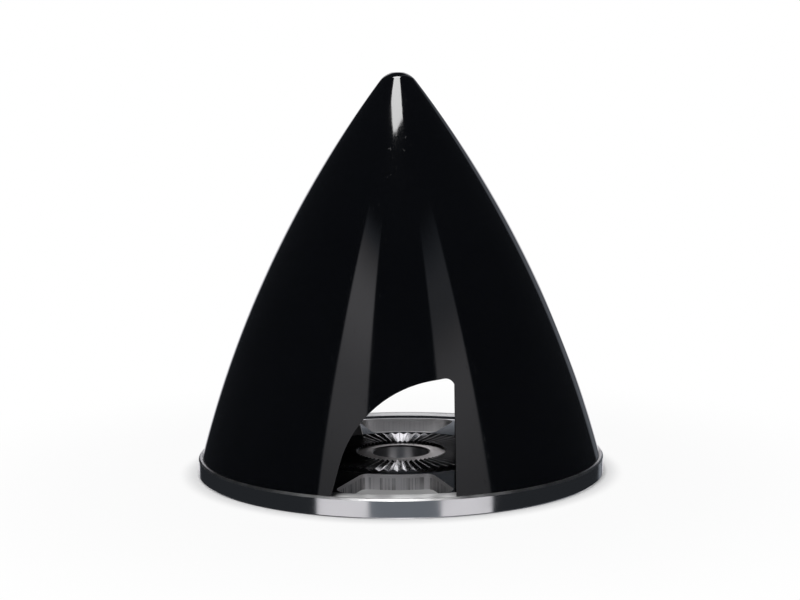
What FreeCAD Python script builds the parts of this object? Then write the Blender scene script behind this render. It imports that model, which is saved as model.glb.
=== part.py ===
"""Propeller spinner for a model aircraft: moulded cone, turned backplate, two screws.

Millimetres, +Z along the axis towards the nose.  The origin is the centre of the
backplate's flat rear face.  The blade openings face -Y and +Y, the two screws
stand on the X axis.  The cone and each screw are modelled on their own seat and
then placed from the same sizes as the surfaces that carry them.
"""
import FreeCAD, Part
import math
import os
import re

import Sketcher

# Driving sizes: alias, value in millimetres or degrees, what it is.
SIZES = (
    # backplate, turned from aluminium bar
    ("plate_diameter", 57.0, "rim of the backplate"),
    ("rim_level", 2.44, "top of the rim, above the rear face"),
    ("rim_width", 0.45, "rim, from its edge to the register that centres the cone"),
    ("rim_bevel_width", 0.2, "bevel on the top edge of the rim, across"),
    ("rim_bevel_height", 0.24, "bevel on the top edge of the rim, down"),
    ("rear_edge_break", 0.15, "broken edge between rim and rear face"),
    ("seat_level", 2.36, "turned land that carries the cone"),
    ("seat_width", 2.35, "register to the inner edge of the land"),
    ("seat_bevel_run", 0.9, "bevel from the land down to the floor, across"),
    ("floor_level", 2.1, "turned floor inside the land"),
    ("groove_width", 1.3, "relief groove round the serrations"),
    ("groove_level", 1.92, "bottom of the relief groove"),
    ("groove_wall_run", 0.2, "slope of the groove's outer wall"),
    ("teeth_length", 5.7, "serrations, inner end to outer end"),
    ("teeth_end_slope", 0.2, "outer ends of the serrations, across"),
    ("teeth_crest_level", 2.38, "crest of the serrations"),
    ("teeth_depth", 0.3, "crest to root of the serrations"),
    ("teeth_count", 60, "serrations round the ring"),
    ("teeth_open_share", 0.9, "share of a pitch that the V takes at the crest"),
    ("teeth_overrun", 0.2, "cutter's travel past both ends of the serrations"),
    ("hub_face_width", 2.4, "hub face, bore to serrations"),
    ("hub_foot_level", 1.97, "hub face beside the serrations"),
    ("hub_lip_level", 2.17, "hub face beside the bore"),
    ("bore_diameter", 8.0, "bore for the propeller shaft"),
    ("bore_bevel", 0.2, "bevel on both ends of the bore"),
    # lightening windows through the backplate's floor, one under each blade
    ("window_angle", 38.0, "between the two ends of a window"),
    ("window_rim_gap", 0.15, "floor left outside a window"),
    ("window_hub_gap", 0.4, "floor left between a window and the groove"),
    ("window_outer_round", 2.2, "rounding of a window's outer corners"),
    ("window_inner_round", 1.2, "rounding of a window's inner corners"),
    # cone, moulded in one piece
    ("cone_register_gap", 0.05, "skirt to the rim's register, on the radius"),
    ("cone_height", 53.1, "seat to the flat on the nose"),
    ("ogive_radius", 147.8, "side profile, a single arc"),
    ("nose_radius", 3.14, "rounding of the nose"),
    ("nose_flat_diameter", 1.8, "gate flat on the nose"),
    ("wall_thickness", 1.2, "wall of the cone"),
    ("inner_nose_radius", 2.0, "rounding at the top of the hollow"),
    # blade openings, both cut straight through along Y; seen along +Y, x to the right
    ("opening_width", 15.5, "opening at the skirt, centred on the axis"),
    ("opening_tail_angle", 15.3, "slanted left-hand edge, from the vertical"),
    ("opening_lead_draft", 0.5, "steep right-hand edge, from the vertical"),
    ("opening_height", 14.2, "seat to the top edge, at its right-hand end"),
    ("opening_top_slope", 7.7, "top edge, from the horizontal"),
    ("opening_top_straight", 1.5, "straight part of the top edge, across; the tail curves into it"),
    ("opening_lead_round", 1.2, "rounding between top and steep edge"),
    ("opening_overrun", 1.0, "cut carried on below the skirt"),
    ("blade_count", 2, "blades, with a lightening window under each"),
    # screws and their bosses
    ("screw_inset", 5.5, "screw axis, in from the outside of the skirt"),
    ("thread_diameter", 3.0, "M3 screw"),
    ("thread_fit", 0.02, "screw to tapped hole, on the radius"),
    ("shank_clearance", 0.2, "screw to the boss, on the radius"),
    ("screw_length", 6.0, "under the head to the tip"),
    ("head_diameter", 5.5, "socket head"),
    ("head_height", 3.0, "socket head"),
    ("head_bevel", 0.25, "bevel on the head's top edge"),
    ("head_clearance", 0.25, "head to the access bore, on the radius"),
    ("tip_bevel", 0.4, "lead-in on the screw's tip"),
    ("socket_across_flats", 2.5, "hexagon socket"),
    ("socket_depth", 1.5, "hexagon socket"),
    ("boss_diameter", 9.0, "boss round each screw"),
    ("boss_floor", 4.0, "boss below the screw head"),
)
# Radii that follow from the sizes, worked out on the same sheet from the rim inwards
# and from the bore outwards.
RADII = (
    ("register_radius", "=plate_diameter / 2 - rim_width", "register that centres the cone"),
    ("cone_base_radius", "=register_radius - cone_register_gap", "outside of the skirt"),
    ("seat_inner_radius", "=register_radius - seat_width", "inner edge of the land"),
    ("floor_outer_radius", "=seat_inner_radius - seat_bevel_run", "outer edge of the floor"),
    ("screw_circle_radius", "=cone_base_radius - screw_inset", "both screws"),
    ("teeth_inner_radius", "=bore_diameter / 2 + hub_face_width", "inner ends of the serrations"),
    ("teeth_outer_radius", "=teeth_inner_radius + teeth_length", "outer ends of the serrations"),
    ("groove_inner_radius", "=teeth_outer_radius + teeth_end_slope", "foot of the serrations"),
    ("groove_outer_radius", "=groove_inner_radius + groove_width", "relief groove"),
    ("window_inner_radius", "=groove_outer_radius + window_hub_gap", "inner edge of a window"),
    ("window_outer_radius", "=floor_outer_radius - window_rim_gap", "outer edge of a window"),
)

doc = FreeCAD.newDocument("propeller_spinner")
sheet = doc.addObject("Spreadsheet::Sheet", "Sizes")
for row, (alias, value, note) in enumerate(SIZES + RADII, 1):
    sheet.set("A%d" % row, note)
    sheet.setAlias("B%d" % row, alias)
    sheet.set("B%d" % row, str(value))
doc.recompute()
V = {alias: sheet.get(alias) for alias, _, _ in SIZES + RADII}


def bound(formula):
    """A formula in aliases, as an expression on the sheet."""
    return re.sub(r"[a-z]+(_[a-z]+)+", r"Sizes.\g<0>", formula)


def new_body(label):
    body = doc.addObject("PartDesign::Body", label)
    body.Label = label
    return body


def origin_part(body, role):
    return next(f for f in body.Origin.OriginFeatures if f.Role == role)


def new_sketch(body, name, role="XZ_Plane", lift=None):
    """A sketch on one of the body's own origin planes, lifted by a formula."""
    sketch = body.newObject("Sketcher::SketchObject", name)
    sketch.AttachmentSupport = [(origin_part(body, role), "")]
    sketch.MapMode = "FlatFace"
    if lift:
        sketch.setExpression("AttachmentOffset.Base.z", bound(lift))
    doc.recompute()
    return sketch


def as_drawn(sketch, kind, where):
    """What a dimension measures on the geometry as it stands."""
    if kind == "Radius":
        return sketch.Geometry[where[0]].Radius
    if kind == "Angle":
        line = sketch.Geometry[where[0]]
        return math.atan2(line.EndPoint.y - line.StartPoint.y, line.EndPoint.x - line.StartPoint.x)
    step = sketch.getPoint(where[2], where[3]) - sketch.getPoint(where[0], where[1])
    return step.x if kind == "DistanceX" else step.y


def dimension(sketch, kind, *where, to):
    """One dimension of a sketch: added as drawn, then tied to the sheet by its formula."""
    index = sketch.addConstraint(Sketcher.Constraint(kind, *where, as_drawn(sketch, kind, where)))
    sketch.setExpression("Constraints[%d]" % index, bound(to))


def place_point(sketch, geo, end, x, y):
    """Hold a point of a sketch at (x, y), each given as a formula."""
    for kind, axis, to in (("DistanceX", -2, x), ("DistanceY", -1, y)):
        if to == "0":
            sketch.addConstraint(Sketcher.Constraint("PointOnObject", geo, end, axis))
        else:
            dimension(sketch, kind, -1, 1, geo, end, to=to)


def closed_outline(sketch, corners):
    """Straight sides through corners given as (x formula, y formula)."""
    n = len(corners)
    turns = [2 * math.pi * k / n for k in range(n)]
    spots = [FreeCAD.Vector(math.cos(turn), math.sin(turn), 0) for turn in turns]
    for k in range(n):
        sketch.addGeometry(Part.LineSegment(spots[k], spots[(k + 1) % n]), False)
    for k in range(n):
        sketch.addConstraint(Sketcher.Constraint("Coincident", k, 2, (k + 1) % n, 1))
    for k, (x, y) in enumerate(corners):
        place_point(sketch, k, 1, x, y)
    doc.recompute()
    return sketch


def arc(centre, radius, start, end):
    """Arc from one angle to another, anticlockwise."""
    return Part.ArcOfCircle(Part.Circle(centre, FreeCAD.Vector(0, 0, 1), radius), start, end)


def bearing(tip, tail):
    """Direction from tail to tip, as an angle."""
    return math.atan2(tip.y - tail.y, tip.x - tail.x)


def screw_circles(sketch, diameter):
    """Two equal circles on the screw circle, one on each side of the axis."""
    for x in (V["screw_circle_radius"], -V["screw_circle_radius"]):
        sketch.addGeometry(Part.Circle(FreeCAD.Vector(x, 0, 0), FreeCAD.Vector(0, 0, 1),
                                       V["thread_diameter"]), False)
    sketch.addConstraint(Sketcher.Constraint("PointOnObject", 0, 3, -1))
    sketch.addConstraint(Sketcher.Constraint("Symmetric", 0, 3, 1, 3, -1, 1))
    sketch.addConstraint(Sketcher.Constraint("Equal", 0, 1))
    dimension(sketch, "DistanceX", -1, 1, 0, 3, to="screw_circle_radius")
    dimension(sketch, "Radius", 0, to="(%s) / 2" % diameter)
    doc.recompute()
    return sketch


def feature(body, kind, name, sketch, **settings):
    """A feature made from a sketch; lengths given as text are formulas."""
    made = body.newObject("PartDesign::" + kind, name)
    made.Profile = sketch
    for key, value in settings.items():
        if isinstance(value, str) and key not in ("Type", "SideType"):
            made.setExpression(key, bound(value))
        else:
            setattr(made, key, value)
    doc.recompute()
    return made


def turned(body, kind, name, sketch):
    """A full turn of a sketch about the body's own Z axis."""
    return feature(body, kind, name, sketch, Angle=360.0,
                   ReferenceAxis=(origin_part(body, "Z_Axis"), [""]))


def patterned(body, name, original, count):
    """Copies of a feature spread evenly about the body's own Z axis."""
    pattern = body.newObject("PartDesign::PolarPattern", name)
    pattern.Originals = [original]
    pattern.Axis = (origin_part(body, "Z_Axis"), [""])
    pattern.Angle = 360.0
    pattern.setExpression("Occurrences", bound(count))
    body.Tip = pattern
    doc.recompute()
    return pattern


# --- backplate ---------------------------------------------------------------
plate = new_body("backplate")
turned(plate, "Revolution", "plate_turning", closed_outline(
    new_sketch(plate, "plate_section"), (
        ("bore_diameter / 2", "bore_bevel"),
        ("bore_diameter / 2 + bore_bevel", "0"),
        ("plate_diameter / 2 - rear_edge_break", "0"),
        ("plate_diameter / 2", "rear_edge_break"),
        ("plate_diameter / 2", "rim_level - rim_bevel_height"),
        ("plate_diameter / 2 - rim_bevel_width", "rim_level"),
        ("register_radius", "rim_level"),
        ("register_radius", "seat_level"),
        ("seat_inner_radius", "seat_level"),
        ("floor_outer_radius", "floor_level"),
        ("groove_outer_radius", "floor_level"),
        ("groove_outer_radius - groove_wall_run", "groove_level"),
        ("groove_inner_radius", "groove_level"),
        ("teeth_outer_radius", "teeth_crest_level"),
        ("teeth_inner_radius", "teeth_crest_level"),
        ("teeth_inner_radius", "hub_foot_level"),
        ("bore_diameter / 2 + bore_bevel", "hub_lip_level"),
        ("bore_diameter / 2", "hub_lip_level - bore_bevel"),
    )))

# Radial serrations: one V, narrow at its inner end, lofted out past both ends of the
# ring and repeated.
sections = []
for end, where in (("inner", "teeth_inner_radius - teeth_overrun"),
                   ("outer", "groove_inner_radius + teeth_overrun")):
    half = "(%s) * tan(180 deg / teeth_count) * teeth_open_share" % where
    sections.append(closed_outline(
        new_sketch(plate, end + "_end_of_v", "YZ_Plane", where), (
            ("0", "teeth_crest_level - teeth_depth"),
            (half, "teeth_crest_level"),
            ("0", "teeth_crest_level + teeth_depth"),
            ("-" + half, "teeth_crest_level"),
        )))
first_v = feature(plate, "SubtractiveLoft", "serration", sections[0],
                  Sections=[sections[1]], Ruled=True)
patterned(plate, "serrations", first_v, "teeth_count")
feature(plate, "Pocket", "tapped_holes", screw_circles(
    new_sketch(plate, "tapped_hole_centres", "XY_Plane"),
    "thread_diameter + 2 * thread_fit"), Type="ThroughAll", Reversed=True)

# Lightening windows: one kidney through the floor on the -Y side, then one to each blade.
kidney = new_sketch(plate, "lightening_window_outline", "XY_Plane")
end_turn, quarter = math.radians(V["window_angle"] / 2), math.pi / 2
r_in, r_out = V["window_inner_radius"], V["window_outer_radius"]
round_in, round_out = V["window_inner_round"], V["window_outer_round"]


def polar(radius, turn):
    """A point of the kidney, its angle counted from -Y towards +X."""
    return FreeCAD.Vector(radius * math.sin(turn), -radius * math.cos(turn), 0)


def corner(distance, rounding):
    """A rounded corner: angle of its middle, and where it leaves the straight end."""
    return end_turn - math.asin(rounding / distance), math.sqrt(distance ** 2 - rounding ** 2)


turn_in, leave_in = corner(r_in + round_in, round_in)
turn_out, leave_out = corner(r_out - round_out, round_out)
kidney.addGeometry([
    arc(polar(0, 0), r_out, -quarter - turn_out, turn_out - quarter),
    arc(polar(r_out - round_out, turn_out), round_out, turn_out - quarter, end_turn),
    Part.LineSegment(polar(leave_out, end_turn), polar(leave_in, end_turn)),
    arc(polar(r_in + round_in, turn_in), round_in, end_turn, turn_in + quarter),
    arc(polar(0, 0), r_in, -quarter - turn_in, turn_in - quarter),
    arc(polar(r_in + round_in, -turn_in), round_in, quarter - turn_in, math.pi - end_turn),
    Part.LineSegment(polar(leave_in, -end_turn), polar(leave_out, -end_turn)),
    arc(polar(r_out - round_out, -turn_out), round_out, -math.pi - end_turn,
        -quarter - turn_out)], False)
# Each row is a meeting of two sides, by number and end: 1 starts a side, 2 ends it.
for meeting in ((0, 2, 1, 1), (1, 2, 2, 1), (2, 2, 3, 1), (3, 2, 4, 2),
                (4, 1, 5, 1), (5, 2, 6, 1), (6, 2, 7, 1), (7, 2, 0, 1)):
    kidney.addConstraint(Sketcher.Constraint("Tangent", *meeting))
for side in (0, 4):
    kidney.addConstraint(Sketcher.Constraint("Coincident", side, 3, -1, 1))
for right, left in ((1, 7), (3, 5)):
    kidney.addConstraint(Sketcher.Constraint("Equal", right, left))
for end in (2, 6):
    kidney.addConstraint(Sketcher.Constraint("PointOnObject", -1, 1, end))
dimension(kidney, "Radius", 0, to="window_outer_radius")
dimension(kidney, "Radius", 4, to="window_inner_radius")
dimension(kidney, "Radius", 1, to="window_outer_round")
dimension(kidney, "Radius", 3, to="window_inner_round")
dimension(kidney, "Angle", 2, to="90 deg + window_angle / 2 * 1 deg")
dimension(kidney, "Angle", 6, to="-90 deg - window_angle / 2 * 1 deg")
doc.recompute()
first_window = feature(plate, "Pocket", "lightening_window", kidney, Type="ThroughAll",
                       Reversed=True)
patterned(plate, "lightening_windows", first_window, "blade_count")

# --- cone --------------------------------------------------------------------
cone = new_body("spinner_cone")
cone.setExpression("Placement.Base.z", bound("seat_level"))
BASE_R, HEIGHT = V["cone_base_radius"], V["cone_height"]
NOSE_Z = HEIGHT - math.sqrt(V["nose_radius"] ** 2 - V["nose_flat_diameter"] ** 2 / 4)


def ogive_centre():
    """Centre of the side arc: through the skirt's edge, tangent to the nose."""
    a, b = V["ogive_radius"], V["ogive_radius"] - V["nose_radius"]
    span = math.hypot(BASE_R, NOSE_Z)
    along = (a * a - b * b + span * span) / (2 * span)
    off = math.sqrt(a * a - along * along)
    ux, uz = -BASE_R / span, NOSE_Z / span
    return FreeCAD.Vector(BASE_R + along * ux - off * uz, along * uz + off * ux, 0)


CENTRE = ogive_centre()
NOSE = FreeCAD.Vector(0, NOSE_Z, 0)


def ogive(sketch, construction):
    """Outer profile as geometry 0 (side arc), 1 (nose arc) and 2 (nose flat)."""
    foot = bearing(FreeCAD.Vector(BASE_R, 0, 0), CENTRE)
    meet = bearing(NOSE, CENTRE)
    crown = math.acos(V["nose_flat_diameter"] / 2 / V["nose_radius"])
    flat = FreeCAD.Vector(V["nose_flat_diameter"] / 2, HEIGHT, 0)
    sketch.addGeometry([arc(CENTRE, V["ogive_radius"], foot, meet),
                        arc(NOSE, V["nose_radius"], meet, crown),
                        Part.LineSegment(flat, FreeCAD.Vector(0, HEIGHT, 0))], construction)
    sketch.addConstraint(Sketcher.Constraint("Tangent", 0, 2, 1, 1))
    sketch.addConstraint(Sketcher.Constraint("Coincident", 1, 2, 2, 1))
    sketch.addConstraint(Sketcher.Constraint("Horizontal", 2))
    sketch.addConstraint(Sketcher.Constraint("PointOnObject", 1, 3, -2))
    place_point(sketch, 0, 1, "cone_base_radius", "0")
    place_point(sketch, 2, 2, "0", "cone_height")
    dimension(sketch, "DistanceX", 2, 2, 2, 1, to="nose_flat_diameter / 2")
    dimension(sketch, "Radius", 0, to="ogive_radius")
    dimension(sketch, "Radius", 1, to="nose_radius")
    return sketch


def inner_arc(sketch, inset, top):
    """Arc inside the outer profile by a formula; ends at angle top."""
    radius = V["ogive_radius"] - V["wall_thickness"]
    foot = math.asin(-CENTRE.y / radius)
    geo = sketch.addGeometry(arc(CENTRE, radius, foot, top), False)
    sketch.addConstraint(Sketcher.Constraint("Coincident", geo, 3, 0, 3))
    sketch.addConstraint(Sketcher.Constraint("PointOnObject", geo, 1, -1))
    dimension(sketch, "Radius", geo, to="ogive_radius - " + inset)
    return geo


# Screw bosses, trimmed half-way into the wall that the shell then adds.
feature(cone, "Pad", "bosses", screw_circles(
    new_sketch(cone, "boss_centres", "XY_Plane"), "boss_diameter"), Length="cone_height")
trim = ogive(new_sketch(cone, "boss_trim_section"), True)
half_wall = inner_arc(trim, "wall_thickness / 2", math.acos(-CENTRE.x / V["ogive_radius"]))
trim.addConstraint(Sketcher.Constraint("PointOnObject", half_wall, 2, -2))
apex = FreeCAD.Vector(0, HEIGHT, 0)
corners = [apex, FreeCAD.Vector(0, 2 * HEIGHT, 0), FreeCAD.Vector(2 * BASE_R, 2 * HEIGHT, 0),
           FreeCAD.Vector(2 * BASE_R, 0, 0), FreeCAD.Vector(BASE_R - V["wall_thickness"] / 2, 0, 0)]
sides = [trim.addGeometry(Part.LineSegment(p, q), False) for p, q in zip(corners, corners[1:])]
trim.addConstraint(Sketcher.Constraint("Coincident", half_wall, 2, sides[0], 1))
for before, after in zip(sides, sides[1:]):
    trim.addConstraint(Sketcher.Constraint("Coincident", before, 2, after, 1))
trim.addConstraint(Sketcher.Constraint("Coincident", sides[-1], 2, half_wall, 1))
place_point(trim, sides[0], 2, "0", "2 * cone_height")
place_point(trim, sides[1], 2, "2 * cone_base_radius", "2 * cone_height")
place_point(trim, sides[2], 2, "2 * cone_base_radius", "0")
turned(cone, "Groove", "boss_trim", trim)

# Shell: the outer profile, the skirt's foot and the hollow inside it.
shell = ogive(new_sketch(cone, "shell_section"), False)
reach = V["ogive_radius"] - V["wall_thickness"] - V["inner_nose_radius"]
crest = FreeCAD.Vector(0, CENTRE.y + math.sqrt(reach ** 2 - CENTRE.x ** 2), 0)
inside = inner_arc(shell, "wall_thickness", bearing(crest, CENTRE))
inner_nose = shell.addGeometry(
    arc(crest, V["inner_nose_radius"], bearing(crest, CENTRE), math.pi / 2), False)
shell.addConstraint(Sketcher.Constraint("Tangent", inside, 2, inner_nose, 1))
shell.addConstraint(Sketcher.Constraint("PointOnObject", inner_nose, 3, -2))
shell.addConstraint(Sketcher.Constraint("PointOnObject", inner_nose, 2, -2))
dimension(shell, "Radius", inner_nose, to="inner_nose_radius")
top = crest + FreeCAD.Vector(0, V["inner_nose_radius"], 0)
core = shell.addGeometry(Part.LineSegment(FreeCAD.Vector(0, HEIGHT, 0), top), False)
foot = shell.addGeometry(Part.LineSegment(
    FreeCAD.Vector(BASE_R - V["wall_thickness"], 0, 0), FreeCAD.Vector(BASE_R, 0, 0)), False)
shell.addConstraint(Sketcher.Constraint("Coincident", core, 1, 2, 2))
shell.addConstraint(Sketcher.Constraint("Coincident", core, 2, inner_nose, 2))
shell.addConstraint(Sketcher.Constraint("Coincident", foot, 1, inside, 1))
shell.addConstraint(Sketcher.Constraint("Coincident", foot, 2, 0, 1))
doc.recompute()
turned(cone, "Revolution", "shell", shell)

# Screw holes through the foot of each boss, access bores from the heads upwards.
feature(cone, "Pocket", "screw_holes", screw_circles(
    new_sketch(cone, "screw_hole_centres", "XY_Plane"),
    "thread_diameter + 2 * shank_clearance"), Length="boss_floor", Reversed=True)
feature(cone, "Pocket", "access_bores", screw_circles(
    new_sketch(cone, "access_bore_centres", "XY_Plane", "boss_floor"),
    "head_diameter + 2 * head_clearance"), Type="ThroughAll", Reversed=True)

# Blade openings: one outline cut straight through both walls.
window = new_sketch(cone, "blade_opening_outline")
tail, lead = math.radians(V["opening_tail_angle"]), math.radians(V["opening_lead_draft"])
slope, tall, drop = math.radians(V["opening_top_slope"]), V["opening_height"], V["opening_overrun"]


def point(x, z):
    return FreeCAD.Vector(x, z, 0)


def bend(towards, onwards):
    """How far a rounding of radius 1 reaches along the two sides it joins."""
    return math.tan((math.pi - towards.getAngle(onwards)) / 2)


def rounded(corner, towards, onwards, reach):
    """Both tangent points and the middle of a rounding, by its reach along each side."""
    radius = reach / bend(towards, onwards)
    middle = (towards + onwards).normalize() * (math.hypot(reach, radius) - radius)
    return corner + towards * reach, corner + middle, corner + onwards * reach


lead_foot, tail_foot = point(V["opening_width"] / 2, 0), point(-V["opening_width"] / 2, 0)
lead_top = lead_foot + point(-tall * math.tan(lead), tall)
rise = (lead_top.y - (lead_top.x - tail_foot.x) * math.tan(slope))
rise = rise / (1 - math.tan(tail) * math.tan(slope))
tail_top = tail_foot + point(rise * math.tan(tail), rise)
along_top = point(math.cos(slope), math.sin(slope))
down_tail = point(-math.sin(tail), -math.cos(tail))
down_lead = point(math.sin(lead), -math.cos(lead))
lead_round = rounded(lead_top, -along_top, down_lead,
                     V["opening_lead_round"] * bend(-along_top, down_lead))
straight_start = lead_round[0] - along_top * (V["opening_top_straight"] / math.cos(slope))
tail_round = rounded(tail_top, down_tail, along_top, (straight_start - tail_top).Length)
window.addGeometry([
    Part.LineSegment(tail_foot, tail_round[0]),
    Part.Arc(*tail_round),
    Part.LineSegment(tail_round[2], lead_round[0]),
    Part.Arc(*lead_round),
    Part.LineSegment(lead_round[2], lead_foot),
    Part.LineSegment(lead_foot, lead_foot - point(0, drop)),
    Part.LineSegment(lead_foot - point(0, drop), tail_foot - point(0, drop)),
    Part.LineSegment(tail_foot - point(0, drop), tail_foot)], False)
corner_mark = window.addGeometry(Part.Point(lead_top), True)
# Both arcs run anticlockwise, so each starts where the next side begins.
for line, line_end, curve, curve_end in ((0, 2, 1, 2), (2, 1, 1, 1), (2, 2, 3, 2), (4, 1, 3, 1)):
    window.addConstraint(Sketcher.Constraint("Tangent", line, line_end, curve, curve_end))
for before, after in ((4, 5), (5, 6), (6, 7), (7, 0)):
    window.addConstraint(Sketcher.Constraint("Coincident", before, 2, after, 1))
for line in (5, 7):
    window.addConstraint(Sketcher.Constraint("Vertical", line))
window.addConstraint(Sketcher.Constraint("Horizontal", 6))
for line in (2, 4):
    window.addConstraint(Sketcher.Constraint("PointOnObject", corner_mark, 1, line))
place_point(window, 0, 1, "-opening_width / 2", "0")
place_point(window, 4, 2, "opening_width / 2", "0")
dimension(window, "DistanceY", -1, 1, corner_mark, 1, to="opening_height")
dimension(window, "DistanceY", 5, 2, 5, 1, to="opening_overrun")
dimension(window, "Angle", 0, to="90 deg - opening_tail_angle * 1 deg")
dimension(window, "Angle", 2, to="opening_top_slope * 1 deg")
dimension(window, "Angle", 4, to="opening_lead_draft * 1 deg - 90 deg")
dimension(window, "DistanceX", 2, 1, 2, 2, to="opening_top_straight")
dimension(window, "Radius", 3, to="opening_lead_round")
doc.recompute()
feature(cone, "Pocket", "blade_openings", window, Type="ThroughAll", SideType="Symmetric")

# --- screws ------------------------------------------------------------------
for label, side in (("cone_screw_right", ""), ("cone_screw_left", "-")):
    screw = new_body(label)
    screw.setExpression("Placement.Base.x", bound(side + "screw_circle_radius"))
    screw.setExpression("Placement.Base.z", bound("seat_level + boss_floor"))
    turned(screw, "Revolution", label + "_turning", closed_outline(
        new_sketch(screw, label + "_section"), (
            ("0", "-screw_length"),
            ("thread_diameter / 2 - tip_bevel", "-screw_length"),
            ("thread_diameter / 2", "tip_bevel - screw_length"),
            ("thread_diameter / 2", "0"),
            ("head_diameter / 2", "0"),
            ("head_diameter / 2", "head_height - head_bevel"),
            ("head_diameter / 2 - head_bevel", "head_height"),
            ("0", "head_height"),
        )))
    corners = []
    for k in range(6):
        reach = "socket_across_flats / 2 / cos(30 deg) * %s(%d deg)"
        corners.append((reach % ("cos", 60 * k), reach % ("sin", 60 * k)))
    feature(screw, "Pocket", label + "_socket", closed_outline(
        new_sketch(screw, label + "_hexagon", "XY_Plane", "head_height"), corners),
        Length="socket_depth")

# --- check and write ---------------------------------------------------------
doc.recompute()
broken = [o.Label for o in doc.Objects if {"Invalid", "Error"} & set(o.State)]
if broken:
    raise RuntimeError("failed objects: " + ", ".join(broken))
os.makedirs("parts", exist_ok=True)
for body in doc.findObjects("PartDesign::Body"):
    shape = body.Shape
    if shape.isNull() or not shape.isValid() or len(shape.Solids) != 1:
        raise RuntimeError(body.Label + " is not one sound solid")
    shape.exportStep("parts/%s.step" % body.Label)
    print("%-18s %9.2f mm3  z %.2f to %.2f" % (
        body.Label, shape.Volume, shape.BoundBox.ZMin, shape.BoundBox.ZMax))
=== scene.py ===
# %% [markdown]
# # A propeller spinner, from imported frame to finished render
#
# A spinner is the streamlined nose of a propeller. This one has a thin moulded cone,
# open on two sides for the blades, on a turned aluminium backplate that clamps behind
# the propeller's hub. Two small screws hold the cone down.
#
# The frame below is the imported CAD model. Everything made here stands in the same
# place, in metres, with +Z along the shaft. The blade openings face -Y and +Y.

# %% Load the frame
import math

import bpy
import numpy as np
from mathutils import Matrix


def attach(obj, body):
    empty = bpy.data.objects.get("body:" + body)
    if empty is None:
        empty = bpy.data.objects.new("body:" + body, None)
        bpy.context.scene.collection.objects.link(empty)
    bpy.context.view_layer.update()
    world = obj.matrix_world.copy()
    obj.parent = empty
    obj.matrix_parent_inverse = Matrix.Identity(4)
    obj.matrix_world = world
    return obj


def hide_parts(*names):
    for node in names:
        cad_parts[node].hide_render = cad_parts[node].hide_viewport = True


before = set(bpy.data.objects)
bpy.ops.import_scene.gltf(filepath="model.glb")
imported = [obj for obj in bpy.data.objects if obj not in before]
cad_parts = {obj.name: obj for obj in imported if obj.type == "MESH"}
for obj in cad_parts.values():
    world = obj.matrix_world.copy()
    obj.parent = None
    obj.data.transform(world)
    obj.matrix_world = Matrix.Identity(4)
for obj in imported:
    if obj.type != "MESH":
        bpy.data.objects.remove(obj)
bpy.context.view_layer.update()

MM = 0.001
print("nodes", sorted(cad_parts))

# %% [markdown]
# ## Small helpers
#
# A material is a tree of nodes, and a studio sky is one too. One helper adds a node and
# fills its sockets by name: a value is written in, a socket of another node is linked.
# The others string together the arithmetic, the soft steps, the mixed colours and the
# noises that patterns need.

# %% Node helpers
NOISE_RANGE = (0.3, 0.7)  # where most of a fractal noise lies


def fill(tree, node, **sockets):
    """Each named socket of the node gets a value or a link.

    An underscore in a name stands for a space, and a name like _0 is a socket's number.
    """
    for name, value in sockets.items():
        key = int(name[1:]) if name[0] == "_" else name.replace("_", " ")
        if isinstance(value, bpy.types.NodeSocket):
            tree.links.new(value, node.inputs[key])
        else:
            node.inputs[key].default_value = value
    return node


def add_node(tree, kind, settings=None, **sockets):
    """A node of the tree with its settings made and its sockets filled."""
    made = tree.nodes.new(kind)
    for name, value in (settings or {}).items():
        setattr(made, name, value)
    return fill(tree, made, **sockets)


def calculate(tree, operation, *values):
    """The result of one Math node on the values."""
    sockets = {"_%d" % k: value for k, value in enumerate(values)}
    return add_node(tree, "ShaderNodeMath", {"operation": operation}, **sockets).outputs[0]


def ramp(tree, value, low, high, start=0.0, end=1.0):
    """Smooth step: start below low, end above high."""
    node = add_node(tree, "ShaderNodeMapRange", {"interpolation_type": "SMOOTHSTEP"},
                    Value=value, From_Min=low, From_Max=high, To_Min=start, To_Max=end)
    return node.outputs["Result"]


def between(tree, value, rise, fall):
    """One inside a range and zero outside, with a soft step at each end."""
    return calculate(tree, "MULTIPLY", ramp(tree, value, *rise),
                     ramp(tree, value, *fall, 1.0, 0.0))


def noise(tree, where, scale, detail):
    """Fractal noise; scale is in cells to the metre."""
    node = add_node(tree, "ShaderNodeTexNoise", Vector=where, Scale=scale, Detail=detail)
    return node.outputs["Fac"]


def length(tree, vector):
    """Length of a vector."""
    node = add_node(tree, "ShaderNodeVectorMath", {"operation": "LENGTH"}, _0=vector)
    return node.outputs["Value"]


def mixed_colour(tree, share, first, second):
    """A colour on the way from the first to the second."""
    node = add_node(tree, "ShaderNodeMix", {"data_type": "RGBA"}, Factor=share)
    node.inputs[6].default_value = (*first, 1)
    node.inputs[7].default_value = (*second, 1)
    return node.outputs[2]


def bumped(tree, height, strength, distance):
    """The surface's normal, tilted as if the height were really there."""
    node = add_node(tree, "ShaderNodeBump", Strength=strength, Distance=distance, Height=height)
    return node.outputs[0]


def empty_material(name):
    """A material with an empty tree."""
    made = bpy.data.materials.new(name)
    made.use_nodes = True
    made.node_tree.nodes.clear()
    return made, made.node_tree


def new_material(name):
    """A material with its Principled shader already on the output."""
    made, tree = empty_material(name)
    shader = add_node(tree, "ShaderNodeBsdfPrincipled")
    add_node(tree, "ShaderNodeOutputMaterial", Surface=shader.outputs[0])
    return made, tree, shader

# %% [markdown]
# ## Meshes from whole arrays
#
# New pieces are grids of points worked out with numpy. A CAD node arrives as loose
# triangles with flat shading, which a gloss moulding would show as facets. So the cone
# and the plate are welded copies of their nodes, exactly the same shape, and the copies
# get the true normals of the surfaces they stand for.

# %% Mesh helpers
WELD = 1e-7  # metres


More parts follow.
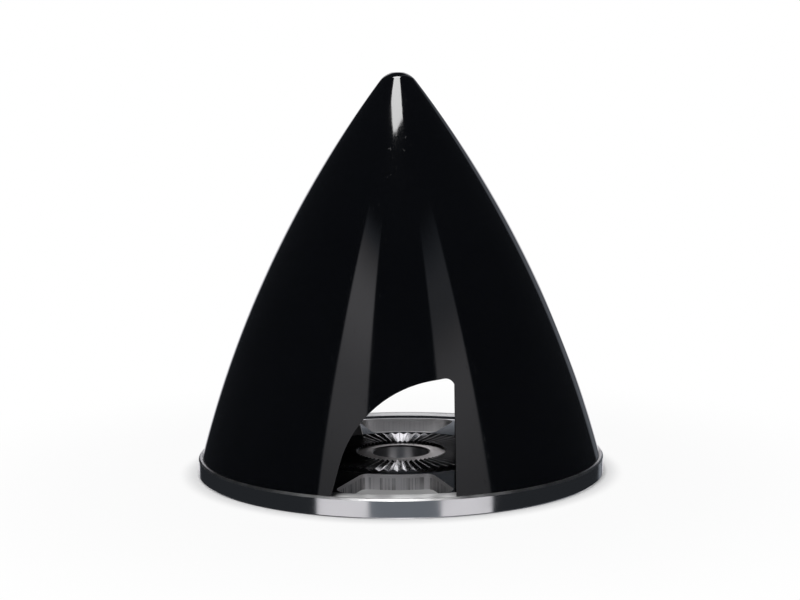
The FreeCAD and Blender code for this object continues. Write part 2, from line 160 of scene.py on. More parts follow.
def new_piece(name, points, *face_arrays):
    """A mesh object at the origin from an array of points and arrays of faces."""
    mesh = bpy.data.meshes.new(name)
    faces = [face for array in face_arrays for face in array.tolist()]
    mesh.from_pydata(points.tolist(), [], faces)
    mesh.update()
    piece = bpy.data.objects.new(name, mesh)
    bpy.context.scene.collection.objects.link(piece)
    return piece


def point_array(mesh):
    """Places of all points of a mesh."""
    points = np.empty(len(mesh.vertices) * 3)
    mesh.vertices.foreach_get("co", points)
    return points.reshape(-1, 3)


def welded_arrays(node):
    """Points and triangles of a CAD node, points at one place made one.

    Places are rounded to the weld distance, and equal rows of whole numbers are one
    point. A triangle that loses a corner by this is left out.
    """
    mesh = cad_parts[node].data
    points = point_array(mesh)
    mesh.calc_loop_triangles()
    faces = np.empty(len(mesh.loop_triangles) * 3, int)
    mesh.loop_triangles.foreach_get("vertices", faces)
    cells = np.round(points / WELD).astype(np.int64)
    _, first, where = np.unique(cells, axis=0, return_index=True, return_inverse=True)
    faces = where.reshape(-1)[faces].reshape(-1, 3)
    whole = (faces != np.roll(faces, 1, axis=1)).all(1)
    return points[first], faces[whole]


def welded_copy(name, node, crease):
    """A new piece in a CAD node's place, smooth up to the crease angle in degrees."""
    piece = new_piece(name, *welded_arrays(node))
    piece.data.shade_smooth()
    piece.data.set_sharp_from_angle(angle=math.radians(crease))
    print(name, "triangles", len(piece.data.polygons))
    return piece


def face_frames(mesh):
    """Centre and normal of every face."""
    centres, normals = np.empty(len(mesh.polygons) * 3), np.empty(len(mesh.polygons) * 3)
    mesh.polygons.foreach_get("center", centres)
    mesh.polygons.foreach_get("normal", normals)
    return centres.reshape(-1, 3), normals.reshape(-1, 3)


def corner_arrays(mesh):
    """Point and face of every triangle's corners, and the normal that each has now."""
    vertex, normal = np.empty(len(mesh.loops), int), np.empty(len(mesh.loops) * 3)
    mesh.loops.foreach_get("vertex_index", vertex)
    mesh.corner_normals.foreach_get("vector", normal)
    return vertex, np.repeat(np.arange(len(mesh.polygons)), 3), normal.reshape(-1, 3)

# %% [markdown]
# ## The cone's profile
#
# The outside is a secant ogive: one large arc from the skirt, tangent to a small nose
# arc. The normal of such a surface points away from the arc's centre, so it is known
# exactly at every point, and the reflections run as smoothly as on a polished mould.

# %% The two arcs
SEAT = 2.36 * MM
SKIRT_RADIUS = 28.0 * MM
CONE_HEIGHT = 53.1 * MM
SIDE_ARC, NOSE_ARC, GATE_RADIUS, WALL = 147.8 * MM, 3.14 * MM, 0.9 * MM, 1.2 * MM
nose_centre = SEAT + CONE_HEIGHT - math.sqrt(NOSE_ARC ** 2 - GATE_RADIUS ** 2)


def side_arc_centre():
    """Centre of the arc through the skirt's edge and tangent to the nose arc.

    It lies at distance R from the skirt's edge and R minus the nose radius from the
    nose centre: the crossing of two circles, taken on the far side of the axis.
    """
    rise = nose_centre - SEAT
    span = math.hypot(SKIRT_RADIUS, rise)
    along = (SIDE_ARC ** 2 - (SIDE_ARC - NOSE_ARC) ** 2 + span ** 2) / (2 * span)
    off = math.sqrt(SIDE_ARC ** 2 - along ** 2)
    return (SKIRT_RADIUS - along * SKIRT_RADIUS / span - off * rise / span,
            SEAT + along * rise / span - off * SKIRT_RADIUS / span)


arc_radius_place, arc_level = side_arc_centre()
print("side arc's centre in mm", round(arc_radius_place / MM, 2), round(arc_level / MM, 2))


def from_side_arc(points):
    """Distance of points from the side arc's centre line, and the unit vectors along it."""
    radius = np.hypot(points[:, 0], points[:, 1])
    outward = points[:, :2] / np.maximum(radius, 1e-9)[:, None]
    across, up = radius - arc_radius_place, points[:, 2] - arc_level
    distance = np.hypot(across, up)
    return distance, np.column_stack([outward * (across / distance)[:, None], up / distance])


def from_nose(points):
    """Distance of points from the nose arc's centre, and the unit vectors along it."""
    step = points - np.array([0.0, 0.0, nose_centre])
    distance = np.linalg.norm(step, axis=1)
    return distance, step / distance[:, None]

# %% [markdown]
# ## The cone
#
# Every triangle whose centre lies on an arc, and faces along it, belongs to that arc.
# Its corners get the arc's own direction as their normal. The rest, such as the walls of
# the blade openings, the bosses and the gate, keep the normals they have.

# %% The cone's welded copy
SLACK = 0.04 * MM
ALONG_SIDE, ALONG_NOSE = 0.97, 0.9  # cosine between a triangle's normal and the arc's
cone = welded_copy("cone_shell", "spinner_cone", crease=16)
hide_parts("spinner_cone")
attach(cone, "root")
centres, normals = face_frames(cone.data)
side_distance, side_way = from_side_arc(centres)
nose_distance, nose_way = from_nose(centres)
side_turn, nose_turn = (normals * side_way).sum(1), (normals * nose_way).sum(1)
on_side = (abs(side_distance - SIDE_ARC) < SLACK) & (side_turn > ALONG_SIDE)
on_nose = (abs(nose_distance - NOSE_ARC) < SLACK) & (nose_turn > ALONG_NOSE) & ~on_side
on_inside = (abs(side_distance - SIDE_ARC + WALL) < SLACK) & (side_turn < -ALONG_SIDE)
print("outside", int((on_side | on_nose).sum()), "inside", int(on_inside.sum()))

vertex, face, corner_normals = corner_arrays(cone.data)
points = point_array(cone.data)
side_at, nose_at = from_side_arc(points)[1], from_nose(points)[1]
for chosen, way in ((on_side, side_at), (on_nose, nose_at), (on_inside, -side_at)):
    corner_normals[chosen[face]] = way[vertex[chosen[face]]]
cone.data.normals_split_custom_set(corner_normals.tolist())

# %% [markdown]
# ## The backplate
#
# The plate is turned, so its edges are crisp and its faces smooth. The solid has every
# cut already, so a welded copy is enough. The bevel inside the land is the shallowest
# edge, at 16.1 degrees, and the crease angle stays just below it.

# %% The backplate's welded copy
plate = welded_copy("backplate_turned", "backplate", crease=15.5)
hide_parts("backplate")
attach(plate, "root")

# %% [markdown]
# ## The screws
#
# Each is a socket head cap screw, M3 by 6. The whole screw is one surface of two
# parameters: the angle round its axis, and the distance walked along its profile from
# the middle of the socket to the tip. The radius comes from the profile, is drawn in to
# a hexagon in the socket, to knurling on the head, and to a helical thread on the shank.

# %% Sizes of a screw
SCREW_CIRCLE = 22.5 * MM
HEAD_SEAT = SEAT + 4.0 * MM
HEAD_RADIUS, HEAD_HEIGHT, HEAD_BEVEL, FOOT_BEVEL = 2.75 * MM, 3.0 * MM, 0.25 * MM, 0.08 * MM
SOCKET_FLATS, SOCKET_DEPTH, SOCKET_RIM = 2.5 * MM, 1.5 * MM, 1.5 * MM
DRILL_DEPTH, DRILL_SHOULDER, POLE_RING = 0.2 * MM, 0.08 * MM, 0.02 * MM
KNURLS, KNURL_DEPTH = 36, 0.07 * MM
KNURL_TOP, KNURL_FOOT = (0.35 * MM, 0.5 * MM), (0.2 * MM, 0.3 * MM)  # where it fades in
NECK_RADIUS, NECK_DEPTH = 1.6 * MM, 0.02 * MM
THREAD_RADIUS, THREAD_LENGTH, THREAD_START, TIP_LENGTH = 1.5 * MM, 6.0 * MM, 0.3 * MM, 0.4 * MM
THREAD_PITCH, THREAD_DEPTH = 0.5 * MM, 0.26 * MM
FLANK_SLOPE, CREST_FLAT = 2.6, 0.3  # of the thread's clipped triangle wave
COLUMNS, THREAD_ROWS, BEVEL_ROWS = 144, 138, 5
SCREW_CREASE = 30  # degrees


def hexagon_radius(turn):
    """Half the width across flats over the cosine of the angle from the nearest flat."""
    return SOCKET_FLATS / 2 / np.cos((turn + math.pi / 6) % (math.pi / 3) - math.pi / 6)


# %% The profile, from socket to tip
def head_rows(turn):
    """Radius and level of each ring of the head, from the socket's floor outwards and down.

    The rings in the socket are hexagons over a shallow drill point, the one at its floor
    twice. On the side the radius loses the knurl: its depth times the size of the sine
    of half the knurls' number times the turn, to the power 1.5.
    """
    hexagon, circle = hexagon_radius(turn), np.ones(len(turn))
    floor_level, top = HEAD_HEIGHT - SOCKET_DEPTH, HEAD_HEIGHT
    knurled = HEAD_RADIUS - KNURL_DEPTH * abs(np.sin(KNURLS / 2 * turn)) ** 1.5
    bevel = np.linspace(0, math.pi / 2, BEVEL_ROWS)
    return [(POLE_RING * circle, floor_level - DRILL_DEPTH),
            (0.7 * hexagon, floor_level - DRILL_SHOULDER),
            (hexagon, floor_level), (hexagon, floor_level),
            (hexagon, top - 0.12 * MM), (hexagon, top - 0.1 * MM),
            (np.maximum(hexagon, SOCKET_RIM - 0.03 * MM), top - 0.02 * MM),
            (SOCKET_RIM * circle, top),
            *(((HEAD_RADIUS + HEAD_BEVEL * (math.sin(a) - 1)) * circle,
               top + HEAD_BEVEL * (math.cos(a) - 1)) for a in bevel),
            (HEAD_RADIUS * circle, top - KNURL_TOP[0]), (knurled, top - KNURL_TOP[1]),
            (knurled, KNURL_FOOT[1]), (HEAD_RADIUS * circle, KNURL_FOOT[0]),
            (HEAD_RADIUS * circle, FOOT_BEVEL), ((HEAD_RADIUS - FOOT_BEVEL) * circle, 0.0),
            (NECK_RADIUS * circle, 0.0), (THREAD_RADIUS * circle, -NECK_DEPTH)]


def thread_rings(turn):
    """Rings of the thread: crest radius less the depth times a wave, faded in at its start.

    The wave is a clipped triangle of level over pitch minus turn, so that it climbs one
    pitch in each turn. Near the tip the radius is at most the tip's cone of 45 degrees.
    """
    level = -np.linspace(THREAD_START, THREAD_LENGTH, THREAD_ROWS)[:, None]
    phase = (level / THREAD_PITCH - turn[None] / (2 * math.pi)) % 1.0
    wave = np.clip(abs(phase - 0.5) * FLANK_SLOPE - CREST_FLAT, 0, 1)
    fade = np.clip((-level - THREAD_START) / THREAD_PITCH, 0, 1)
    tip = THREAD_RADIUS - np.clip(-level - THREAD_LENGTH + TIP_LENGTH, 0, 1)
    radius = np.minimum(THREAD_RADIUS - THREAD_DEPTH * wave * fade, tip)
    return np.stack([radius * np.cos(turn), radius * np.sin(turn),
                     np.broadcast_to(level, radius.shape)], 2)


def closed_grid_faces(rows, columns):
    """Quads between neighbouring rows, the last column joined to the first."""
    k, j = np.meshgrid(np.arange(rows - 1), np.arange(columns), indexing="ij")
    after = (j + 1) % columns
    return np.stack([k * columns + j, (k + 1) * columns + j,
                     (k + 1) * columns + after, k * columns + after], 2).reshape(-1, 4)


turn = np.arange(COLUMNS) * 2 * math.pi / COLUMNS
rings = [np.column_stack([r * np.cos(turn), r * np.sin(turn), np.full(COLUMNS, z)])
         for r, z in head_rows(turn)]
grid = np.concatenate([np.stack(rings), thread_rings(turn)])
print("rings", len(grid), "of", COLUMNS, "points")

# %% [markdown]
# The grid is closed by a fan of triangles on a pole at each end. It stands twice, with
# the head on the floor of the right and of the left access bore.

# %% Both screws
quads = closed_grid_faces(len(grid), COLUMNS)
ring, after = np.arange(COLUMNS), (np.arange(COLUMNS) + 1) % COLUMNS
last = (len(grid) - 1) * COLUMNS
top_pole, tip_pole = np.full(COLUMNS, grid.size // 3), np.full(COLUMNS, grid.size // 3 + 1)
top_fan = np.column_stack([top_pole, ring, after])
tip_fan = np.column_stack([tip_pole, last + after, last + ring])
poles = np.array([[0, 0, grid[0, 0, 2]], [0, 0, -THREAD_LENGTH]])
screws = []
for side, node in ((1, "cone_screw_right"), (-1, "cone_screw_left")):
    place = np.array([side * SCREW_CIRCLE, 0, HEAD_SEAT])
    screw = new_piece(node + "_steel", np.concatenate([grid.reshape(-1, 3), poles]) + place,
                      quads, top_fan, tip_fan)
    screw.data.shade_smooth()
    screw.data.set_sharp_from_angle(angle=math.radians(SCREW_CREASE))
    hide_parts(node)
    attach(screw, "root")
    screws.append(screw)
    print(screw.name, "faces", len(screw.data.polygons))

# %% [markdown]
# ## Black moulded plastic
#
# The cone could be glass-filled nylon or ABS, black all through, from a polished mould.
# An image could carry its finish, but a few noises in the piece's own coordinates need
# no unwrapping. Real gloss is never even: the wall sinks by a hair here and there, and a
# cloth has left fine hairlines, which are a stretched noise that only roughens the
# surface. A mould's core is often left unpolished, so the hollow is matt.

# %% The cone's two finishes
GLOSS_BLACK = (0.0022, 0.0026, 0.0036), (0.0042, 0.0047, 0.0062)
MATT_BLACK = (0.003, 0.003, 0.0034), (0.007, 0.0068, 0.007)
WIPED_TURN, WIPED_SCALE = (0.35, 0.2, 0.5), (2600.0, 2600.0, 120.0)
HAIRLINE_PEAKS, HAIRLINE_ROUGHNESS = (0.70, 0.76), 0.12
SINK_SHARE, GRAIN_SHARE = 3.0, 0.02
GATE_FLAT = 0.99  # least vertical part of a normal on the gate


def cone_plastic():
    """Gloss outside: hairlines add roughness, a slow noise bends the reflections a little."""
    made, tree, shader = new_material("cone_black_plastic")
    here = add_node(tree, "ShaderNodeTexCoord").outputs["Object"]
    cloud = noise(tree, here, scale=90.0, detail=4.0)
    grain = noise(tree, here, scale=5200.0, detail=2.0)
    wiped = add_node(tree, "ShaderNodeMapping", Vector=here,
                     Rotation=WIPED_TURN, Scale=WIPED_SCALE).outputs[0]
    hairline = ramp(tree, noise(tree, wiped, scale=1.0, detail=1.0), *HAIRLINE_PEAKS)
    height = calculate(tree, "ADD", calculate(tree, "MULTIPLY", cloud, SINK_SHARE),
                       calculate(tree, "MULTIPLY", grain, GRAIN_SHARE))
    fill(tree, shader, IOR=1.58, Normal=bumped(tree, height, strength=1.0, distance=2e-6),
         Base_Color=mixed_colour(tree, cloud, *GLOSS_BLACK),
         Roughness=calculate(tree, "ADD", ramp(tree, cloud, *NOISE_RANGE, 0.05, 0.075),
                             calculate(tree, "MULTIPLY", hairline, HAIRLINE_ROUGHNESS)))
    return made


def cone_inside_plastic():
    """Matt inside, with the fine grain of an unpolished core."""
    made, tree, shader = new_material("cone_inside_plastic")
    here = add_node(tree, "ShaderNodeTexCoord").outputs["Object"]
    grain = noise(tree, here, scale=2600.0, detail=4.0)
    cloud = noise(tree, here, scale=160.0, detail=3.0)
    fill(tree, shader, IOR=1.5, Normal=bumped(tree, grain, strength=0.5, distance=8e-6),
         Base_Color=mixed_colour(tree, cloud, *MATT_BLACK),
         Roughness=ramp(tree, grain, *NOISE_RANGE, 0.36, 0.5))
    return made


OUTSIDE, INSIDE = 0, 1
cone.data.materials.append(cone_plastic())
cone.data.materials.append(cone_inside_plastic())
# the gate's flat on the nose is the only level face up there
on_gate = (centres[:, 2] > nose_centre) & (normals[:, 2] > GATE_FLAT)
finish = np.where(on_side | on_nose | on_gate, OUTSIDE, INSIDE).astype(np.int32)
cone.data.polygons.foreach_set("material_index", finish)
cone.data.update()
print("gloss triangles", int((finish == OUTSIDE).sum()), "of", len(finish))

# %% [markdown]
# ## Turned aluminium, zone by zone
#
# One bar of aluminium, but every cut leaves its own skin. The rim's side is turned
# bright and the floor almost like a mirror, the land is left satin, the hub face is
# lapped matt, the windows are milled with upright chatter marks, and the serrations are
# cut bright with duller ends. Painted shade darkens three places: the rim's top at the
# cone's foot, the bore's wall, and the chatter marks low on the -Y window's wall.
#
# One function makes all of these, so that they read as one metal. On the lathe the tool
# ran round the axis, so the light smears across its rings and not along them: the
# tangent runs round, and a quarter turn of the anisotropy makes it so.

# %% One function for all its skins
QUARTER_TURN = 0.25
RING_SCALE, RING_CLIMB = 7000.0, 1.3
MARKS_BELOW, MARKS_FRONT = (1.5 * MM, 1.7 * MM), (-1.0 * MM, 1.0 * MM)
# how much the marks darken the tone: painted shade
MARKS_BEHIND, MARKS_PAINTED_SHADE = 0.15, 0.45
FLUTE_PEAKS, FLUTE_LEVELS = (0.45, 0.6), (0.0, 1.6)
ROUGH_LEAST, ROUGH_MOST = 0.85, 1.2  # shares of the roughness


def chatter_and_painted_shade(tree, split, in_plan, cloud):
    """Upright marks: a noise of X and Y alone, strongest low on the -Y window's wall. They give
    bumps there, and they darken the tone there as painted shade.
    """
    flute = ramp(tree, noise(tree, in_plan, scale=2600.0, detail=2.0),
                 *FLUTE_PEAKS, *FLUTE_LEVELS)
    below = ramp(tree, split[2], *MARKS_BELOW, 1.0, 0.0)
    in_front = ramp(tree, split[1], *MARKS_FRONT, 1.0, MARKS_BEHIND)
    patchy = calculate(tree, "MULTIPLY", cloud, in_front)
    return calculate(tree, "MULTIPLY", flute, calculate(tree, "MULTIPLY", below, patchy))


def aluminium(name, rough, stretch=0.0, rings=0.0, grain=0.0, dark=0.82, light=0.9,
              warm=0.0, metal=1.0, chatter=0.0):
    """Bare metal: its roughness, the stretch of the light across the rings, the heights
    of rings, grain and chatter in metres, the two ends of its tone, and its warmth.

    The rings are a noise of radius plus a share of level, so they run round the axis on
    flat faces and on walls alike.
    """
    made, tree, shader = new_material(name)
    here = add_node(tree, "ShaderNodeTexCoord").outputs["Object"]
    split = add_node(tree, "ShaderNodeSeparateXYZ", Vector=here).outputs
    in_plan = add_node(tree, "ShaderNodeCombineXYZ", X=split[0], Y=split[1]).outputs[0]
    walk = calculate(tree, "ADD", length(tree, in_plan),
                     calculate(tree, "MULTIPLY", split[2], RING_CLIMB))
    ring = add_node(tree, "ShaderNodeTexNoise", {"noise_dimensions": "1D"},
                    W=walk, Scale=RING_SCALE, Detail=4.0).outputs["Fac"]
    cloud = noise(tree, here, scale=420.0, detail=5.0)
    speck = noise(tree, here, scale=5200.0, detail=3.0)
    share = calculate(tree, "MULTIPLY", calculate(tree, "ADD", cloud, speck), 0.5)
    tint = np.array([1, 1 - warm, 1 - 2 * warm])
    tone = mixed_colour(tree, share, dark * tint, light * tint)
    height = calculate(tree, "ADD", calculate(tree, "MULTIPLY", ring, rings),
                       calculate(tree, "MULTIPLY", speck, grain))
    if chatter:
        marks_and_shade = chatter_and_painted_shade(tree, split, in_plan, cloud)
        height = calculate(tree, "ADD", height, calculate(tree, "MULTIPLY", marks_and_shade, chatter))
        # the marks darken the tone: painted shade, strongest low on the -Y window's wall
        shade = calculate(tree, "ADD", 1.0, calculate(tree, "MULTIPLY", marks_and_shade, -MARKS_PAINTED_SHADE))
        tone = add_node(tree, "ShaderNodeVectorMath", {"operation": "SCALE"},
                        _0=tone, Scale=shade).outputs["Vector"]
    tangent = add_node(tree, "ShaderNodeTangent", {"direction_type": "RADIAL", "axis": "Z"})
    fill(tree, shader, Base_Color=tone, Metallic=metal,
         Normal=bumped(tree, height, strength=1.0, distance=1.0),
         Roughness=ramp(tree, cloud, *NOISE_RANGE, rough * ROUGH_LEAST, rough * ROUGH_MOST),
         Anisotropic=stretch, Anisotropic_Rotation=QUARTER_TURN, Tangent=tangent.outputs[0])
    return made

# %% [markdown]
# Each skin needs its own material, and a face of the plate has room for one. A zone is a
# range of radius, in millimetres, and a way to face. A later zone in the list takes its
# triangles from an earlier one, and what faces down stays with the rear face, the first.

# %% The zones
BORE_EDGE, HUB_EDGE, TEETH_END, TEETH_FOOT = 4.1, 6.4, 12.1, 12.4
FLOOR_INNER, WINDOW_INNER, WINDOW_OUTER = 12.2, 13.5, 25.0
LAND_INNER, RIM_INNER, RIM_SIDE = 25.6, 28.06, 28.2
GROOVE_LEVEL = 1.95 * MM
LEVEL_ENOUGH, REARWARD = 0.5, -0.9  # vertical part of a triangle's normal
plate_centres, plate_normals = face_frames(plate.data)
radius = np.hypot(plate_centres[:, 0], plate_centres[:, 1]) / MM
facing_up = plate_normals[:, 2] > LEVEL_ENOUGH
upright = abs(plate_normals[:, 2]) < LEVEL_ENOUGH
facing_down = plate_normals[:, 2] <= REARWARD


def ring_zone(inner, outer):
    """Triangles whose centre lies between two radii."""
    return (radius > inner) & (radius < outer)


zones = (
    (aluminium("rear_face", 0.3, stretch=0.6, rings=1.5e-6, grain=0.5e-6),
     ring_zone(0, np.inf)),
    (aluminium("rim_turned", 0.16, stretch=1.0, rings=0.4e-6, grain=0.1e-6),
     ring_zone(RIM_SIDE, np.inf) & ~facing_up),
    (aluminium("land_satin", 0.5, stretch=0.4, rings=1.0e-6, grain=1.0e-6, dark=0.9, light=0.97),
     ring_zone(LAND_INNER, np.inf) & facing_up),
    # painted shade: the rim's top, at the cone's foot, gets a darker tone than the rest of the
    # metal
    (aluminium("rim_top_painted_shade", 0.35, stretch=0.6, rings=1.0e-6, grain=0.5e-6, dark=0.6, light=0.72),
     ring_zone(RIM_INNER, np.inf) & facing_up),
    (aluminium("floor_polished", 0.045, stretch=0.5),
     ring_zone(FLOOR_INNER, LAND_INNER) & facing_up),
    (aluminium("window_milled", 0.55, grain=6.0e-6, dark=0.8, light=1.0, warm=0.015,
               metal=0.7, chatter=30e-6),
     ring_zone(WINDOW_INNER, WINDOW_OUTER) & upright),
    (aluminium("serrations", 0.14, grain=0.3e-6),
     ring_zone(HUB_EDGE, TEETH_FOOT) & ~upright),
    (aluminium("serration_ends", 0.4, grain=0.3e-6, dark=0.9, light=0.96),
     ring_zone(TEETH_END, TEETH_FOOT) & ~upright & (plate_centres[:, 2] > GROOVE_LEVEL)),
    (aluminium("hub_face", 0.42, rings=0.5e-6, grain=3.0e-6, dark=0.8, light=0.98, warm=0.03),
     ring_zone(0, HUB_EDGE) & facing_up),
    # painted shade: the bore's wall gets a much darker tone than the rest of the metal
    (aluminium("bore_wall_painted_shade", 0.4, stretch=0.6, rings=1.5e-6, grain=1.0e-6, dark=0.3, light=0.45),
     ring_zone(0, BORE_EDGE) & upright),
)
zone_of = np.zeros(len(radius), np.int32)
for number, (material, chosen) in enumerate(zones):
    plate.data.materials.append(material)
    zone_of[chosen & ~facing_down] = number
plate.data.polygons.foreach_set("material_index", zone_of)
plate.data.update()
print({material.name: int((zone_of == number).sum()) for number, (material, _) in enumerate(zones)})

# %% [markdown]
# ## Black oxide steel
#
# The screws would be bought in: hardened steel, blackened in a hot bath. The oxide is
# thin, so steel gleams through in patches. One noise gives the patches, and it also
# makes them rougher and higher, since the three come from the same wear.

# %% The screws' finish
OXIDE, WORN_OXIDE, WORN_RANGE = (0.035, 0.034, 0.035), (0.09, 0.08, 0.07), (0.4, 0.7)


def black_oxide_steel():
    """Dark steel, patchy from a noise that also roughens and lifts it."""
    made, tree, shader = new_material("black_oxide_steel")
    here = add_node(tree, "ShaderNodeTexCoord").outputs["Object"]
    cloud = noise(tree, here, scale=900.0, detail=5.0)
    worn = ramp(tree, cloud, *WORN_RANGE)
    fill(tree, shader, Metallic=1.0, Normal=bumped(tree, cloud, strength=0.3, distance=5e-6),
         Base_Color=mixed_colour(tree, worn, OXIDE, WORN_OXIDE),
         Roughness=ramp(tree, cloud, *NOISE_RANGE, 0.28, 0.42))
    return made


steel = black_oxide_steel()
for screw in screws:
    screw.data.materials.append(steel)
print(steel.name, "on", [screw.name for screw in screws])

# %% [markdown]
# ## The studio
#
# Black gloss shows its surroundings and little else. Two tall strip lights stand left
# and right of the camera, one soft box hangs overhead, and the sides of the room are
# dark. Behind the object the table is white, then comes a dark seam, then a white
# backdrop. The plate's floor mirrors just that seam, so it looks black.
#
# All but the soft box are patches of the sky, because a patch needs only its edges and
# the camera doesn't see it. They are given in degrees: turn is 0 towards the camera and
# 180 behind, rise is 0 at the horizon. A pair of degrees is where a soft edge starts and
# ends, and a pair of levels is the brightness on its two sides.

# %% The sky
FACING = 2.05
STRIPS_CENTRE, STRIPS_LEAN = 1.9, 0.1
STRIPS_INNER, STRIPS_OUTER, STRIPS_TOP = (20.3, 21.7), (47.8, 49.2), (41.0, 54.0)
STRIPS_BRIGHTER, STRIPS_LEVELS = (12.0, 28.0), (0.42, 0.64)
TABLE_GLOW, TABLE_GLOW_LEVEL = (-10.0, 4.0), 0.25
UPPER_PART, UPPER_RIGHT_LEVEL = (28.0, 40.0), 0.45
LOW_FRONT, LOW_FRONT_LEVEL = (-6.0, 2.0), 0.14
BEHIND, TABLE_END = (158.0, 166.0), (9.0, 11.9)
BACKDROP_FOOT, BACKDROP_TOP = (15.5, 18.0), (28.0, 38.0)
EDGE_START, EDGE_END, EDGE_LEVEL = (147.0, 150.0), (156.0, 159.0), 0.2
ROOM_LEVEL = 0.02
DIM_TINT, BRIGHT_TINT = (0.88, 0.97, 1.12), (1.0, 0.985, 1.03)
TINT_CHANGES = (0.1, 0.5)  # the brightness at which the tint starts to change, and ends


def strip_lights(tree, turn, rise):
    """Both strips and the dim patch low between them, as one brightness.

    Their inner edges lean apart with height, and they grow brighter upwards. In the
    upper part the left one gains brightness and the right one loses it.
    """
    aside = calculate(tree, "ABSOLUTE", calculate(tree, "ADD", turn, -STRIPS_CENTRE))
    leaned = calculate(tree, "ADD", aside, calculate(tree, "MULTIPLY", rise, -STRIPS_LEAN))
    shape = calculate(tree, "MULTIPLY", ramp(tree, leaned, *STRIPS_INNER),
                      ramp(tree, aside, *STRIPS_OUTER, 1.0, 0.0))
    level = calculate(tree, "ADD", ramp(tree, rise, *STRIPS_BRIGHTER, *STRIPS_LEVELS),
                      ramp(tree, rise, *TABLE_GLOW, TABLE_GLOW_LEVEL, 0.0))
    on_left = ramp(tree, turn, -1.0, 1.0, 1.0, 0.0)
    upper = calculate(tree, "ADD", ramp(tree, rise, *UPPER_PART, 1.0, UPPER_RIGHT_LEVEL),
                      calculate(tree, "MULTIPLY", on_left, ramp(tree, rise, *UPPER_PART)))
    strips = calculate(tree, "MULTIPLY", shape, calculate(tree, "MULTIPLY", level, upper))
    strips = calculate(tree, "MULTIPLY", strips, ramp(tree, rise, *STRIPS_TOP, 1.0, 0.0))
    low_front = calculate(tree, "MULTIPLY",
                          ramp(tree, leaned, *STRIPS_INNER, LOW_FRONT_LEVEL, 0.0),
                          ramp(tree, rise, *LOW_FRONT, 1.0, 0.0))
    return calculate(tree, "ADD", strips, low_front)


def white_behind(tree, turn, rise):
    """Table and backdrop behind the object, and a thin dim strip on the right of them."""
    behind = ramp(tree, calculate(tree, "ABSOLUTE", turn), *BEHIND)
    but_for_seam = calculate(tree, "ADD", ramp(tree, rise, *TABLE_END, 1.0, 0.0),
                             ramp(tree, rise, *BACKDROP_FOOT))
    white = calculate(tree, "MULTIPLY", calculate(tree, "MULTIPLY", behind, but_for_seam),
                      ramp(tree, rise, *BACKDROP_TOP, 1.0, 0.0))
    edge = between(tree, turn, EDGE_START, EDGE_END)
    return calculate(tree, "ADD", white, calculate(tree, "MULTIPLY", edge, EDGE_LEVEL))


def studio_sky():
    """The world: white to the camera, the studio's patches to every other ray."""
    world = bpy.data.worlds.new("studio")
    bpy.context.scene.world = world
    world.use_nodes = True
    tree = world.node_tree
    tree.nodes.clear()
    way = add_node(tree, "ShaderNodeTexCoord").outputs["Generated"]
    split = add_node(tree, "ShaderNodeSeparateXYZ", Vector=way).outputs
    turn = calculate(tree, "ARCTAN2", split[0], calculate(tree, "MULTIPLY", split[1], -1.0))
    turn = calculate(tree, "ADD", calculate(tree, "MULTIPLY", turn, 180 / math.pi), -FACING)
    rise = calculate(tree, "MULTIPLY", calculate(tree, "ARCSINE", split[2]), 180 / math.pi)
    lights = calculate(tree, "ADD", strip_lights(tree, turn, rise),
                       calculate(tree, "ADD", white_behind(tree, turn, rise), ROOM_LEVEL))
    colour = mixed_colour(tree, ramp(tree, lights, *TINT_CHANGES), DIM_TINT, BRIGHT_TINT)
    seen = add_node(tree, "ShaderNodeLightPath").outputs["Is Camera Ray"]
    white = add_node(tree, "ShaderNodeBackground", Color=(1, 1, 1, 1), Strength=1.0)
    lit = add_node(tree, "ShaderNodeBackground", Color=colour, Strength=lights)
    mix = add_node(tree, "ShaderNodeMixShader", _0=seen, _1=lit.outputs[0], _2=white.outputs[0])
    add_node(tree, "ShaderNodeOutputWorld", Surface=mix.outputs[0])


studio_sky()
print("sky", bpy.context.scene.world.name)

# %% [markdown]
# ## The soft box
#
# The long highlight below the nose is the soft box overhead. Its front corners are cut
# off at a slant, as flags in front of a lamp do, and so is the highlight. It hangs only
# half a metre up, so it is a mesh in its place and not a patch of the sky, which is
# endlessly far. The corners are given in lamp heights: to the right, and towards the
# camera.

# %% The lamp overhead
LAMP_HEIGHT, OBJECT_HEIGHT, LAMP_STRENGTH = 0.5, 0.05, 11.0
LAMP_CORNERS = np.array([(0.15, -0.2), (0.14, 0.35), (-0.05, 0.405),
                         (-0.13, 0.4), (-0.27, 0.24), (-0.27, -0.2)])


def glowing(name, strength):
    """Cloth that gives off an even light."""
    made, tree = empty_material(name)
    light = add_node(tree, "ShaderNodeEmission", Color=(1, 1, 1, 1), Strength=strength)
    add_node(tree, "ShaderNodeOutputMaterial", Surface=light.outputs[0])
    return made


toward = np.array([math.sin(math.radians(FACING)), -math.cos(math.radians(FACING))])
across = np.array([-toward[1], toward[0]])
corners = LAMP_HEIGHT * (LAMP_CORNERS[:, :1] * across + LAMP_CORNERS[:, 1:] * toward)
levels = np.full(len(corners), LAMP_HEIGHT + OBJECT_HEIGHT)
softbox = new_piece("softbox", np.column_stack([corners, levels]), np.arange(len(corners))[None])
softbox.data.materials.append(glowing("softbox_cloth", LAMP_STRENGTH))
softbox.visible_camera = False
print("soft box", np.ptp(corners, axis=0).round(3), "m")

# %% [markdown]
# ## The floor
#
# The object stands on white paper that has no horizon. To the camera the paper is mixed
# with plain white, which takes a fifth below the plate, nine tenths 3 mm past the rim
# and all from 80 mm on. So a thin, faint contact shadow is left at the rim. The paper
# doesn't show in reflections, where the sky's own table does.

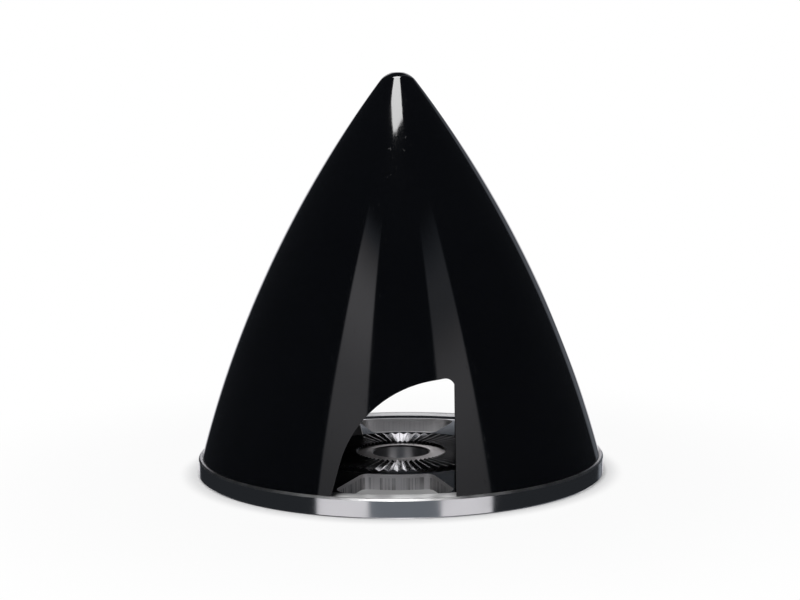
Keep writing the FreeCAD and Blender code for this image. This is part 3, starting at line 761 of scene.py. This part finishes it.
# %% The floor
FLOOR_HALF, PAPER = 2.0, 0.86
CONTACT, CONTACT_SHARES = (28.5 * MM, 31.5 * MM), (0.2, 0.9)
CLEAR, CLEAR_SHARES = (30.0 * MM, 80.0 * MM), (0.0, 0.1)


def pale_floor():
    """Paper under and near the object, fading to plain white for camera rays."""
    made, tree = empty_material("pale_floor")
    here = add_node(tree, "ShaderNodeTexCoord").outputs["Object"]
    away = length(tree, here)
    seen = add_node(tree, "ShaderNodeLightPath").outputs["Is Camera Ray"]
    paper = add_node(tree, "ShaderNodeBsdfDiffuse", Color=(PAPER, PAPER, PAPER, 1)).outputs[0]
    white = add_node(tree, "ShaderNodeEmission", Color=(1, 1, 1, 1), Strength=1.0).outputs[0]
    whiteness = calculate(tree, "ADD", ramp(tree, away, *CONTACT, *CONTACT_SHARES),
                          ramp(tree, away, *CLEAR, *CLEAR_SHARES))
    mix = add_node(tree, "ShaderNodeMixShader",
                   _0=calculate(tree, "MULTIPLY", whiteness, seen), _1=paper, _2=white)
    add_node(tree, "ShaderNodeOutputMaterial", Surface=mix.outputs[0])
    return made


square = FLOOR_HALF * np.array([(-1, -1, 0), (1, -1, 0), (1, 1, 0), (-1, 1, 0)])
floor = new_piece("floor", square, np.arange(4)[None])
floor.data.materials.append(pale_floor())
floor.visible_glossy = False
print("floor", 2 * FLOOR_HALF, "m wide")

# %% [markdown]
# ## The camera
#
# A short telephoto, about level with the upper half of the cone, tipped down by 6
# degrees and almost square to the blade openings. Standard view keeps the white of the
# studio plain white.

# %% The camera
camera = bpy.data.cameras.new("camera")
camera.lens, camera.sensor_width = 62.685, 36.0
camera.clip_start, camera.clip_end = 0.01, 20.0
camera_object = bpy.data.objects.new("camera", camera)
camera_object.location = (0.0069703, -0.1947302, 0.0450729)
camera_object.rotation_euler = [math.radians(a) for a in (83.7787, 0.4761, 1.9831)]
bpy.context.scene.collection.objects.link(camera_object)
bpy.context.scene.camera = camera_object
bpy.context.scene.view_settings.view_transform = "Standard"
print("camera", tuple(round(v, 4) for v in camera_object.location))
